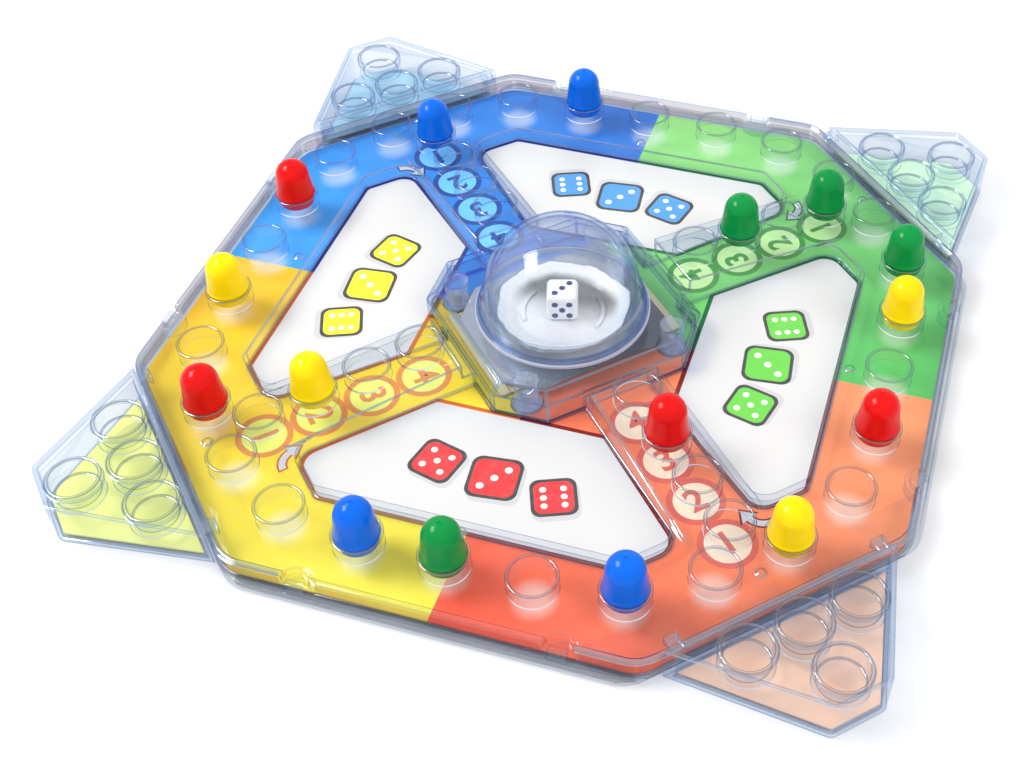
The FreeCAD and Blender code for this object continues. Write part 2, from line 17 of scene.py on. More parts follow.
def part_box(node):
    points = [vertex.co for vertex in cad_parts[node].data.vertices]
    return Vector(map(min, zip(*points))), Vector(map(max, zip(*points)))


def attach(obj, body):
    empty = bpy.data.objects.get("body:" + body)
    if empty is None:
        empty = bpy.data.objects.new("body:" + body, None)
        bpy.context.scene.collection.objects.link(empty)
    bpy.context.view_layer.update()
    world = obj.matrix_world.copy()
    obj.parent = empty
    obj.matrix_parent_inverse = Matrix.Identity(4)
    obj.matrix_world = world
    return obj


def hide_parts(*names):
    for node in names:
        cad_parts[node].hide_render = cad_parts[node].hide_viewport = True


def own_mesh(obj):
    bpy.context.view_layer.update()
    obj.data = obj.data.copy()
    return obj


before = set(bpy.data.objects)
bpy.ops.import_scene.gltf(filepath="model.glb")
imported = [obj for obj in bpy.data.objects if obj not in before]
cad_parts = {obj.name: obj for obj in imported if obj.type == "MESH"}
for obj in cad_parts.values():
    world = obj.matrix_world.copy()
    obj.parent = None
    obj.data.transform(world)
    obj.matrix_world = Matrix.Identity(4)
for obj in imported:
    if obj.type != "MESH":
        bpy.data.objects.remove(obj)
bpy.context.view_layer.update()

bl_info = {
    "name": "Pop up dice board game",
    "version": (1, 0, 0),
    "blender": (4, 5, 0),
    "location": "View3D > Sidebar > Board Game",
    "description": "Builds a clear press-dome board game with pegs, sockets and corner trays",
    "category": "Add Mesh",
}

MM = 0.001
ROOT2 = sqrt(2.0)
COLOURS = ("yellow", "red", "green", "blue")
SIDES = ("front", "right", "back", "left")

# Heights and places taken from the part's source
CARD_TOP = 2.2
PLATE_TOP = 8.3
SOCKET_RIM = 13.8
SOCKET_R = 7.65
BORE_R = 6.65
TRACK = ((0.0, 107.65), (26.0, 107.85), (51.65, 104.5), (73.6, 91.1))
HOME = (50.5, 68.34, 86.18, 104.02)
ARM_START = 103.2
ARM_SLOPE = 0.0828
ARM_HALF_OUT = 13.6
ARM_HALF_IN = 12.0
WINDOW_SIDE = 91.3
WINDOW_CHAMFER = 98.3
HOUSING_SIDE = 44.6
HOUSING_CHAMFER = 38.2
WELL_R = 8.15
WELL_BORE_R = 7.05
WELL_DEPTH = 6.6
WELL_FLOOR_T = 1.0
WELLS = ((142.0, -17.97), (142.0, 0.0), (142.0, 17.97), (159.7, 0.0))
DISH_TOP = 11.2
DOME_CENTRE = 17.6
FLANGE_TOP = 3.45
RIDGE_TOP = 9.3
TRAY_IN = 132.1
TRAY_OUT = 169.5
TRAY_H_IN = 12.0
TRAY_RISE = 3.2
COVER_LOW = 2.3
HOUSING_UNDER = 12.2
POST_PLACE = 37.5
POST_R = 4.0
BOSS_R = 5.0
COVER_SIDE = 124.6
COVER_CHAMFER = 131.6
CLIP_X = 38.5
NOTCH_R = 4.2
PLUG_R = 6.15
PLUG_L = 4.0
PEG_FOOT_R = 6.9
PEG_R = 6.35
HEAD_R = 5.75
PIP_R = 1.05
PIP_PITCH = 2.35
DIE_HALF = 5.15
DIE_TURN = 16.4
DIE_MIDDLE = 13.25

# Lengths of what only this file draws
RING_H = 5.5
FILLET_H = 0.32
FILLET_IN = 0.22
RIM_BAND = 1.2
BORE_TAPER = 0.12
PRINT_RUN = 216.0
DISC_FADE = 6.0
HOME_LINE_WIDTH = 2.02
SOFT_EDGE = 0.12
MARGIN = 0.1
NEAR = 2.0
FOOT_BAND = 0.7
TRAY_BAND = 0.4
# where the painted shade under a tray's wells fades out, from its outer to its inner radius
WELL_SHADE_FADE = (7.5, 2.0)
WELD = 0.002
SAME = 0.0001
PIPS = {3: ((-1, -1), (0, 0), (1, 1)), 5: ((-1, -1), (-1, 1), (0, 0), (1, -1), (1, 1)),
        6: ((-1, -1), (-1, 0), (-1, 1), (1, -1), (1, 0), (1, 1))}

# Angles in degrees, and how far a face's normal points up
FLAT_ANGLE = 1.0
EDGE_ANGLE = 28.0
SMOOTH_ANGLE = 32.0
DIE_SMOOTH_ANGLE = 25.0
LEVEL = 0.9
UPRIGHT = 0.3

FULL_TURN = 2.0 * pi
EDGE_SLOT = 1           # the slot that a moulding's rounded edges have
SLOPE_SHARE = 0.15      # a band's smaller extent, as a share of the larger, from which it slopes
THIN_EDGE = 0.7         # the rounding of the trays' edges, as a share of the cover's
SCREW_EDGE = 0.5


def put(x, y, z=0.0):
    """A place in millimetres as a vector in metres."""
    return Vector((x * MM, y * MM, z * MM))


def turned(x, y, degrees):
    """A place turned about the board's middle."""
    a = radians(degrees)
    return x * cos(a) - y * sin(a), x * sin(a) + y * cos(a)


def side_place(side, x, y):
    return turned(x, y, 90.0 * side)


def corner_turn(corner):
    """A corner's direction from the board's middle, in degrees from +X."""
    return 225.0 + 90.0 * corner


def corner_place(corner, along, across=0.0):
    return turned(along, across, corner_turn(corner))


def arm_top(along):
    """Height of a sloping arm at that place along the diagonal."""
    return PLATE_TOP + ARM_SLOPE * max(ARM_START - along, 0.0)


def tray_top(along):
    """Height of a tray's walls at that place along the diagonal."""
    return TRAY_H_IN + TRAY_RISE * (along - TRAY_IN) / (TRAY_OUT - TRAY_IN)


def arc(radius, start, end, steps, middle=(0.0, 0.0)):
    """Points along a circle from start to end, both in radians."""
    turns = [start + (end - start) * i / steps for i in range(steps + 1)]
    return [(middle[0] + radius * cos(a), middle[1] + radius * sin(a)) for a in turns]


# Sizes and colours that a user may change

def length(name, description, default, low, high):
    return FloatProperty(name=name, description=description, default=default, min=low, max=high,
                         subtype="DISTANCE", unit="LENGTH", precision=5)


def colour(name, description, default):
    return FloatVectorProperty(name=name, description=description, default=default, size=3,
                               min=0.0, max=1.0, subtype="COLOR")


class BoardSizes(bpy.types.PropertyGroup):
    edge_round: length("Edge rounding", "Rounding of the moulded edges", 0.0005, 0.0001, 0.0008)
    socket_edge: length("Socket rim rounding", "Rounding of the rims of sockets and wells",
                        0.0004, 0.0001, 0.0005)
    disc_radius: length("Printed disc", "Radius of the pale disc under each track socket",
                        0.0085, 0.006, 0.011)
    home_radius: length("Home disc", "Radius of the ringed disc under each home socket",
                        0.009, 0.007, 0.0105)
    # The dark line round each window is partly print and partly painted shade at the foot of the pocket
    # walls.
    border_width: length("Window border", "Width of the dark printed line round each window",
                         0.0015, 0.0005, 0.003)
    number_height: length("Number height", "Height of the numbers on the home discs",
                          0.0085, 0.004, 0.011)


class BoardColours(bpy.types.PropertyGroup):
    clear: colour("Clear plastic", "Tint of light through the clear plastic", (0.960, 0.974, 0.990))
    clear_edge: colour("Clear plastic edge", "Tint seen along the plastic's edges", (0.36, 0.47, 0.72))
    base_edge: colour("Base tray edge", "Tint of the base tray's rim", (0.74, 0.78, 0.85))
    peg_yellow: colour("Yellow pegs", "Colour of the yellow pegs", (0.95, 0.68, 0.002))
    peg_red: colour("Red pegs", "Colour of the red pegs", (0.72, 0.004, 0.004))
    peg_green: colour("Green pegs", "Colour of the green pegs", (0.002, 0.25, 0.05))
    peg_blue: colour("Blue pegs", "Colour of the blue pegs", (0.001, 0.125, 0.68))
    white_plastic: colour("White plastic", "Colour of the die floor and frame", (0.80, 0.80, 0.79))
    pips: colour("Die pips", "Colour of the die's pips", (0.012, 0.010, 0.16))


# Shader maths

class Wire:
    """A shader socket whose arithmetic adds Math nodes."""

    def __init__(self, paint, socket):
        self.paint = paint
        self.socket = socket

    def maths(self, operation, *others, clamp=False):
        values = dict(enumerate((self, *others)))
        return self.paint.wire("ShaderNodeMath", values, operation=operation, use_clamp=clamp)

    __add__ = partialmethod(maths, "ADD")
    __sub__ = partialmethod(maths, "SUBTRACT")
    __mul__ = partialmethod(maths, "MULTIPLY")
    __truediv__ = partialmethod(maths, "DIVIDE")
    __pow__ = partialmethod(maths, "POWER")
    __gt__ = partialmethod(maths, "GREATER_THAN")
    __abs__ = partialmethod(maths, "ABSOLUTE")
    least = partialmethod(maths, "MINIMUM")
    most = partialmethod(maths, "MAXIMUM")
    clamped = partialmethod(maths, "ADD", 0.0, clamp=True)

    def __rsub__(self, other):
        return (self * -1.0) + other

    def away(self, across, up, other):
        """Distance from the point (across, up), this wire being the first ordinate."""
        return ((self - across) ** 2.0 + (other - up) ** 2.0) ** 0.5

    def ramp(self, start, end):
        """Rises smoothly from 0 at start to 1 at end."""
        ends = (start, end, 0.0, 1.0) if start < end else (end, start, 1.0, 0.0)
        values = dict(enumerate((self, *ends)))
        return self.paint.wire("ShaderNodeMapRange", values, interpolation_type="SMOOTHSTEP")


class Paint:
    """One material and the nodes that make it."""

    def __init__(self, name):
        self.material = bpy.data.materials.new(name)
        self.material.use_nodes = True
        self.tree = self.material.node_tree
        self.tree.nodes.clear()

    def add(self, kind, inputs, **settings):
        """A node with its settings made first, then the values or links of its sockets."""
        node = self.tree.nodes.new(kind)
        for key, value in settings.items():
            setattr(node, key, value)
        for key, value in inputs.items():
            socket = self.find(node.inputs, key)
            if isinstance(value, Wire):
                self.tree.links.new(value.socket, socket)
            elif isinstance(value, (tuple, list)) and len(value) == 3 and socket.type == "RGBA":
                socket.default_value = (*value, 1.0)
            else:
                socket.default_value = value
        return node

    @staticmethod
    def find(sockets, key):
        """The socket with that number, identifier or name."""
        if isinstance(key, int):
            return sockets[key]
        for socket in sockets:
            if key in (socket.identifier, socket.name):
                return socket
        raise KeyError(key)

    def wire(self, kind, inputs, output=0, **settings):
        """One output of a new node."""
        return Wire(self, self.find(self.add(kind, inputs, **settings).outputs, output))

    def place(self):
        """The surface point in the board's own frame, in metres."""
        return self.wire("ShaderNodeTexCoord", {}, "Object")

    def ordinates(self):
        """The surface point's x, y and z in millimetres, in the board's own frame."""
        parts = self.add("ShaderNodeSeparateXYZ", {0: self.place()})
        return [Wire(self, output) * (1.0 / MM) for output in parts.outputs]

    def noise(self, scale, detail=2.0, stretch=(1.0, 1.0, 1.0), roughness=0.5):
        grown = self.wire("ShaderNodeVectorMath", {0: self.place(), 1: stretch}, operation="MULTIPLY")
        return self.wire("ShaderNodeTexNoise", {
            "Vector": grown, "Scale": scale, "Detail": detail, "Roughness": roughness})

    def fibres(self):
        """The fine fibre of printed card."""
        return self.noise(340.0, 4.0, roughness=0.65)

    def mix(self, factor, first, second):
        """Colour first where factor is 0 and second where it is 1."""
        inputs = {"Factor_Float": factor, "A_Color": first, "B_Color": second}
        return self.wire("ShaderNodeMix", inputs, "Result_Color", data_type="RGBA")

    def bump(self, height, strength, distance):
        return self.wire("ShaderNodeBump", {"Strength": strength, "Distance": distance, "Height": height})

    def facing(self):
        """0 where the surface faces the eye and 1 where it turns away."""
        return self.wire("ShaderNodeLayerWeight", {"Blend": 0.5}, "Facing")

    def plastic(self, **inputs):
        """A Principled shader with its sockets named in small letters, such as base_color."""
        named = {key.replace("_", " ").title().replace("Ior", "IOR"): value
                 for key, value in inputs.items()}
        return self.wire("ShaderNodeBsdfPrincipled", named)

    def coat(self, **inputs):
        """The material, with one Principled shader as its whole surface."""
        return self.finish(self.plastic(**inputs))

    def mirror(self, tint, roughness, **more):
        """A Glossy shader, for what thin clear plastic reflects."""
        return self.wire("ShaderNodeBsdfAnisotropic", {"Color": tint, "Roughness": roughness, **more})

    def see_through(self, tint):
        return self.wire("ShaderNodeBsdfTransparent", {"Color": tint})

    def mixed(self, factor, first, second):
        """Shader first where factor is 0 and second where it is 1."""
        return self.wire("ShaderNodeMixShader", {0: factor, 1: first, 2: second})

    def finish(self, shader):
        self.add("ShaderNodeOutputMaterial", {"Surface": shader})
        return self.material


def clear_plastic(name, body_tint, edge_tint, haze, gloss, turn=3.6):
    """Thin clear moulded plastic: light passes, edges gather a tint, and the skin shines."""
    paint = Paint(name)
    flow = paint.noise(55.0, 3.0)
    scuffs = paint.noise(900.0, 2.0)
    facing = paint.facing()
    depth = ((facing ** turn) * (flow * 0.30 + 0.90)).clamped()
    clear = paint.mixed(depth, paint.see_through(body_tint), paint.see_through(edge_tint))
    mirror = paint.mirror((0.95, 0.98, 1.0), scuffs * 0.04 + 0.03, Normal=paint.bump(flow, 0.10, 0.0006))
    shine = ((facing ** 5.0) * (gloss * 0.96) + 0.04 * gloss).clamped()
    milk = paint.plastic(base_color=(0.72, 0.80, 0.90), roughness=scuffs * 0.1 + 0.25, ior=1.49)
    cloudy = (flow.ramp(0.30, 0.80) * haze + haze * 0.5).clamped()
    return paint.finish(paint.mixed(cloudy, paint.mixed(shine, clear, mirror), milk))


def clear_line(name, light, deep, gloss):
    """A moulding's rounded edge, which bends the light: light seen face on and deep along it."""
    paint = Paint(name)
    flow = paint.noise(120.0, 3.0)
    turned_away = paint.facing().ramp(0.05, 0.80)
    tone = paint.mixed(turned_away, paint.see_through(light), paint.see_through(deep))
    mirror = paint.mirror((0.93, 0.97, 1.0), flow * 0.06 + 0.05)
    return paint.finish(paint.mixed((flow * 0.5 + 0.75) * gloss, tone, mirror))


def foot_line(name):
    """The fillet at a ring's foot: a painted white highlight towards the eye and painted blue grey shade on
    the far side.
    """
    paint = Paint(name)
    flow = paint.noise(120.0, 3.0)
    white = paint.plastic(base_color=(0.88, 0.92, 0.97), roughness=flow * 0.1 + 0.2, ior=1.49)
    far = paint.see_through((0.46, 0.55, 0.74))
    # painted highlight: white plastic is mixed in where the fillet faces the eye, painted shade where it
    # turns away
    return paint.finish(paint.mixed(paint.facing().ramp(0.50, 0.12) * 0.62 + 0.05, far, white))


def peg_plastic(name, tint, glow):
    """Glossy coloured plastic with a faint painted glow in its own colour, standing in for light carried
    under its skin.
    """
    paint = Paint(name)
    cloud = paint.noise(70.0, 3.0)
    flow = paint.noise(160.0, 2.0, (1.0, 1.0, 0.25))
    dark = tuple(c * 0.86 for c in tint)
    shade = paint.mix(cloud.ramp(0.35, 0.70), dark, tint)
    # painted glow: the emission makes the plastic give out a little light of its own tint
    return paint.coat(
        base_color=shade, roughness=flow * 0.07 + 0.16, ior=1.5, specular_ior_level=0.16,
        coat_weight=0.06, coat_roughness=0.05, emission_color=tint, emission_strength=glow,
        normal=paint.bump(flow, 0.08, 0.0004))


def brushed_steel(name, light, deep, stretch):
    """Steel with fine brushing, and a painted reflection and shade that runs from light on the board's left
    to deep on its right.
    """
    paint = Paint(name)
    x, _, _ = paint.ordinates()
    brush = paint.noise(260.0, 4.0, stretch, 0.6)
    # painted reflection and shade: lighter on the board's left, darker on its right
    shade = paint.mix((x + brush * 10.0 - 5.0).ramp(-26.0, 30.0), light, deep)
    return paint.coat(
        base_color=shade, metallic=0.75, roughness=brush * 0.14 + 0.18,
        normal=paint.bump(brush, 0.03, 0.0002))


ZONE_START = ((0.93, 0.52, 0.006), (0.93, 0.100, 0.045), (0.11, 0.54, 0.12), (0.026, 0.17, 0.58))
ZONE_END = ((0.94, 0.79, 0.06), (0.98, 0.34, 0.14), (0.30, 0.70, 0.19), (0.040, 0.36, 0.84))
# Dark line tints for the window borders and the arrow outlines; round the windows they are partly print and
# partly painted shade at the foot of the pocket walls.
ZONE_LINE_AND_SHADE = ((0.60, 0.13, 0.015), (0.22, 0.010, 0.008), (0.015, 0.155, 0.045), (0.012, 0.035, 0.22))
HOME_FILL = ((0.86, 0.88, 0.16), (0.95, 0.74, 0.52), (0.56, 0.82, 0.34), (0.20, 0.62, 0.95))
HOME_LINE = ((0.76, 0.27, 0.065), (0.72, 0.13, 0.09), (0.07, 0.30, 0.06), (0.025, 0.08, 0.33))
TRAY_TINT = ((0.92, 0.90, 0.24), (0.92, 0.56, 0.38), (0.74, 0.98, 0.62), (0.40, 0.62, 0.70))


def zone_mix(paint, x, y, tints):
    """Each quadrant's own tint: yellow, red, green and blue from the front left round."""
    right = x > 0.0
    back = y > 0.0
    front_row = paint.mix(right, tints[0], tints[1])
    back_row = paint.mix(right, tints[3], tints[2])
    return paint.mix(back, front_row, back_row)


def nearest(x, y, places):
    """Distance from the point (x, y) to the closest of the places."""
    return reduce(Wire.least, [x.away(*place, y) for place in places])


def card_ink(name, tints_start, tints_end, sizes, home=None):
    """Coated print in four zones, each running from its start tint to its end tint.

    home holds the fill and the line tints of the home discs. Without it no disc is printed.
    """
    paint = Paint(name)
    x, y, _ = paint.ordinates()
    back = y > 0.0
    right = x > 0.0
    even = (back * right) + (1.0 - back) * (1.0 - right)
    signed_even = (x - y) / PRINT_RUN * (1.0 - back * 2.0)
    signed_odd = (x + y) / PRINT_RUN * (right * 2.0 - 1.0)
    run = (signed_even * even + signed_odd * (1.0 - even) + 0.5).clamped()
    tint = paint.mix(run, zone_mix(paint, x, y, tints_start), zone_mix(paint, x, y, tints_end))
    if home:
        a = abs(x).least(abs(y))
        b = abs(x).most(abs(y))
        disc = sizes.disc_radius / MM
        glow = nearest(a, b, TRACK).ramp(disc, disc - DISC_FADE) * 0.62
        tint = paint.mix(glow, tint, paint.mix(0.62, tint, (0.97, 0.95, 0.80)))
        near = nearest(a, b, [(along / ROOT2, along / ROOT2) for along in HOME])
        outer = sizes.home_radius / MM
        for rim, tints in ((outer, home[1]), (outer - HOME_LINE_WIDTH, home[0])):
            inside = near.ramp(rim + SOFT_EDGE, rim - SOFT_EDGE)
            tint = paint.mix(inside, tint, zone_mix(paint, x, y, tints))
    fibres = paint.fibres()
    blotch = paint.noise(22.0, 2.0)
    tint = paint.mix((fibres - 0.42).clamped() * 0.06, tint, (0.98, 0.96, 0.92))
    tint = paint.mix(blotch.ramp(0.45, 0.85) * 0.03, tint, (0.99, 0.97, 0.90))
    return paint.coat(
        base_color=tint, roughness=fibres * 0.14 + 0.36, ior=1.45, specular_ior_level=0.25,
        normal=paint.bump(fibres, 0.05, 0.0002))


def flat_ink(name, tint):
    """One printed colour with the card's faint fibre in it."""
    paint = Paint(name)
    fibres = paint.fibres()
    shade = paint.mix(fibres.ramp(0.3, 0.8) * 0.05, tint, (0.66, 0.65, 0.63))
    return paint.coat(
        base_color=shade, roughness=fibres * 0.12 + 0.34, ior=1.45, coat_weight=0.2,
        coat_roughness=0.2, normal=paint.bump(fibres, 0.04, 0.0002))


# Mesh helpers

def rounded(points, radii, steps=5):
    """The closed outline with each corner turned into an arc of its radius."""
    count = len(points)
    result = []
    for i, radius in enumerate(radii):
        here = Vector(points[i])
        before = (Vector(points[i - 1]) - here).normalized()
        after = (Vector(points[(i + 1) % count]) - here).normalized()
        if radius <= 0.0 or abs(before.cross(after)) < 1e-6:
            result.append(tuple(here))
            continue
        half = before.angle(after) / 2.0
        reach = radius / tan(half)
        middle = here + (before + after).normalized() * (radius / sin(half))
        start = here + before * reach - middle
        sweep = here + after * reach - middle
        angle = start.angle_signed(sweep)
        for step in range(steps + 1):
            spin = Matrix.Rotation(-angle * step / steps, 2)
            result.append(tuple(middle + spin @ start))
    return result


def lathe(mesh, profile, x=0.0, y=0.0, steps=64, pick=None):
    """A closed (radius, height) outline turned about a vertical line; pick gives each band its slot."""
    rings = []
    for radius, height in profile:
        if radius < 1e-6:
            rings.append([mesh.verts.new(put(x, y, height))])
            continue
        circle = arc(radius, 0.0, FULL_TURN, steps, (x, y))[:-1]
        rings.append([mesh.verts.new(put(*spot, height)) for spot in circle])
    ends = zip(profile, profile[1:] + profile[:1])
    for first, second, (low, high) in zip(rings, rings[1:] + rings[:1], ends):
        if len(first) > 1 or len(second) > 1:
            skin(mesh, first, second, pick(low, high) if pick else 0)


def skin(mesh, first, second, slot):
    """The faces between two closed rows of corners; a row of one corner is a pole."""
    count = max(len(first), len(second))
    for i in range(count):
        after = (i + 1) % count
        corners = [first[i % len(first)], first[after % len(first)],
                   second[after % len(second)], second[i % len(second)]]
        mesh.faces.new(list(dict.fromkeys(corners))).material_index = slot


def slab(mesh, points, low, high, slot=0):
    """A flat outline given thickness."""
    lower, upper = ([mesh.verts.new(put(x, y, z)) for x, y in points] for z in (low, high))
    for cap in (lower[::-1], upper):
        mesh.faces.new(cap).material_index = slot
    skin(mesh, lower, upper, slot)


def band(mesh, outer, inner, low, high, slot=0):
    """A flat band between two outlines that have the same number of points."""
    rows = [[mesh.verts.new(put(x, y, z)) for x, y in line]
            for line, z in ((outer, low), (outer, high), (inner, high), (inner, low))]
    for first, second in zip(rows, rows[1:] + rows[:1]):
        skin(mesh, first, second, slot)


def finished(name, mesh):
    """The mesh's data, with its faces' normals pointing out."""
    bmesh.ops.recalc_face_normals(mesh, faces=mesh.faces)
    data = bpy.data.meshes.new(name)
    mesh.to_mesh(data)
    mesh.free()
    return data


def linked(name, data, materials=()):
    """An object in the scene with that data and those materials."""
    for material in materials:
        data.materials.append(material)
    made = bpy.data.objects.new(name, data)
    bpy.context.scene.collection.objects.link(made)
    return made


def piece(name, mesh, body, materials, replaces=()):
    """A finished object from mesh, riding on body and standing for the replaced nodes."""
    from_data(name, finished(name, mesh), body, materials, replaces)


def from_data(name, data, body, materials, replaces=(), smooth=SMOOTH_ANGLE):
    made = linked(name, data, materials)
    data.shade_smooth()
    data.set_sharp_from_angle(angle=radians(smooth))
    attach(made, body)
    if replaces:
        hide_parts(*replaces)
    return made


def moulded(node, name, body, materials, width, sort=None):
    """The node's form with rounded edges, its width in metres.

    sort gives the name of a face's material from its outermost corner, its normal and whether it
    belongs to a rounded edge.
    """
    source = bmesh.new()
    source.from_mesh(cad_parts[node].data)
    bmesh.ops.remove_doubles(source, verts=source.verts, dist=WELD * MM)
    bmesh.ops.dissolve_limit(source, angle_limit=radians(FLAT_ANGLE), verts=source.verts,
                             edges=source.edges)
    for face in source.faces:
        face.material_index = 0
    data = bpy.data.meshes.new(name + "_draft")
    source.to_mesh(data)
    source.free()
    draft = linked(name + "_draft", data, materials)
    edge = draft.modifiers.new("rounding", "BEVEL")
    edge.width = width
    edge.segments = 2
    edge.limit_method = "ANGLE"
    edge.angle_limit = radians(EDGE_ANGLE)
    edge.use_clamp_overlap = False
    edge.material = min(EDGE_SLOT, len(materials) - 1)
    bpy.context.view_layer.update()
    graph = bpy.context.evaluated_depsgraph_get()
    final = bpy.data.meshes.new_from_object(draft.evaluated_get(graph))
    bpy.data.objects.remove(draft)
    final.name = name
    if sort:
        names = [material.name for material in materials]
        for face in final.polygons:
            corners = [final.vertices[i].co / MM for i in face.vertices]
            outermost = max(corners, key=lambda corner: (round(corner.xy.length, 2), corner.z))
            chosen = sort(outermost, face.normal, face.material_index == EDGE_SLOT)
            face.material_index = names.index(chosen)
    from_data(name, final, body, [], [node])


def recoat(node, material):
    """Gives a node that is shown as it was packed its one look."""
    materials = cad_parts[node].data.materials
    materials.clear()
    materials.append(material)


class BoardPiece:
    """What every operator here shares."""

    bl_options = {"REGISTER", "UNDO"}

    @property
    def sizes(self):
        return bpy.context.scene.board_sizes

    @property
    def tints(self):
        return bpy.context.scene.board_colours


def clear_look(name="clear_plastic"):
    """One of the clear looks, made the first time it is asked for. None has the name of a CAD slot."""
    found = bpy.data.materials.get(name)
    if found:
        return found
    tints = bpy.context.scene.board_colours
    clear, edge, base = tuple(tints.clear), tuple(tints.clear_edge), tuple(tints.base_edge)
    thin = tuple(c ** 0.5 for c in clear)
    looks = {
        "clear_plastic": (clear_plastic, clear, edge, 0.002, 0.30),
        "clear_wall": (clear_plastic, tuple(c * 0.975 for c in clear), (0.72, 0.80, 0.93), 0.004, 0.50),
        "clear_ring": (clear_plastic, thin, (0.70, 0.77, 0.88), 0.006, 0.60),
        "dome_plastic": (clear_plastic, thin, (0.42, 0.55, 0.80), 0.05, 0.75, 2.4),
        "base_plastic": (clear_plastic, tuple(c * 0.94 for c in clear), base, 0.05, 0.6),
        "clear_post": (clear_plastic, clear, (0.84, 0.88, 0.94), 0.30, 1.0),
        "clear_housing": (clear_plastic, (0.87, 0.885, 0.93), (0.48, 0.62, 0.88), 0.004, 0.60),
        "outer_wall": (clear_plastic, (0.82, 0.76, 0.76), (0.60, 0.60, 0.68), 0.004, 0.50),
        "edge_line": (clear_line, (0.62, 0.68, 0.80), (0.40, 0.50, 0.76), 0.26),
        "tray_line": (clear_line, (0.74, 0.83, 0.95), (0.46, 0.58, 0.84), 0.26),
        "housing_line": (clear_line, (0.52, 0.66, 0.92), (0.20, 0.34, 0.76), 0.18),
        "faint_line": (clear_line, (0.88, 0.90, 0.94), (0.74, 0.80, 0.90), 0.06),
        "edge_band": (clear_line, (0.80, 0.87, 0.96), (0.62, 0.74, 0.92), 0.16),
        "rim_line": (clear_line, (0.52, 0.57, 0.68), (0.38, 0.45, 0.64), 0.18),
        "base_line": (clear_line, (0.74, 0.77, 0.82), (0.58, 0.62, 0.70), 0.12),
        "deep_line": (clear_line, (0.12, 0.26, 0.80), (0.08, 0.18, 0.66), 0.05),
        "foot_line": (foot_line,),
    }
    make, *values = looks[name]
    return make(name, *values)


def clear_looks(*names):
    return [clear_look(name) for name in names]


# Operators

class BOARD_OT_base_tray(BoardPiece, bpy.types.Operator):
    """Clear grey base tray with its rounded flange and snap tabs"""
    bl_idname = "board.base_tray"
    bl_label = "Base tray"

    def execute(self, context):
        looks = clear_looks("base_plastic", "base_line", "clear_plastic", "faint_line", "clear_post")
        moulded("base_tray", "base_moulding", "board", looks,
                self.sizes.edge_round * THIN_EDGE, self.look)
        return {"FINISHED"}

    @staticmethod
    def look(place, normal, edge):
        """The snap tabs are as clear as the cover, and the screw bosses are cloudy."""
        across, along = sorted((abs(place.x), abs(place.y)))
        if hypot(across, along - POST_PLACE) < BOSS_R + MARGIN:
            return "clear_post"
        if place.z > FLANGE_TOP:
            return "faint_line" if edge else "clear_plastic"
        return "base_line" if edge else "base_plastic"


def window_outline(grow):
    """The front window's outline, grown outwards by grow."""
    side = WINDOW_SIDE + grow
    chamfer = WINDOW_CHAMFER + grow
    half = chamfer * ROOT2 - side
    out = ARM_HALF_OUT - grow
    tip = ARM_HALF_IN - grow
    housing = HOUSING_SIDE - grow
    near_x = max(housing - tip * ROOT2, HOUSING_CHAMFER * ROOT2 - HOUSING_SIDE)
    right = [
        (half, -side),
        ((chamfer - out) / ROOT2, -(chamfer + out) / ROOT2),
        (near_x, -housing),
    ]
    left = [(-x, y) for x, y in reversed(right)]
    front_r, side_r, housing_r = 3.0, 6.0 + grow, 1.0
    return rounded(right + left, [front_r, side_r, housing_r, housing_r, side_r, front_r], steps=8)


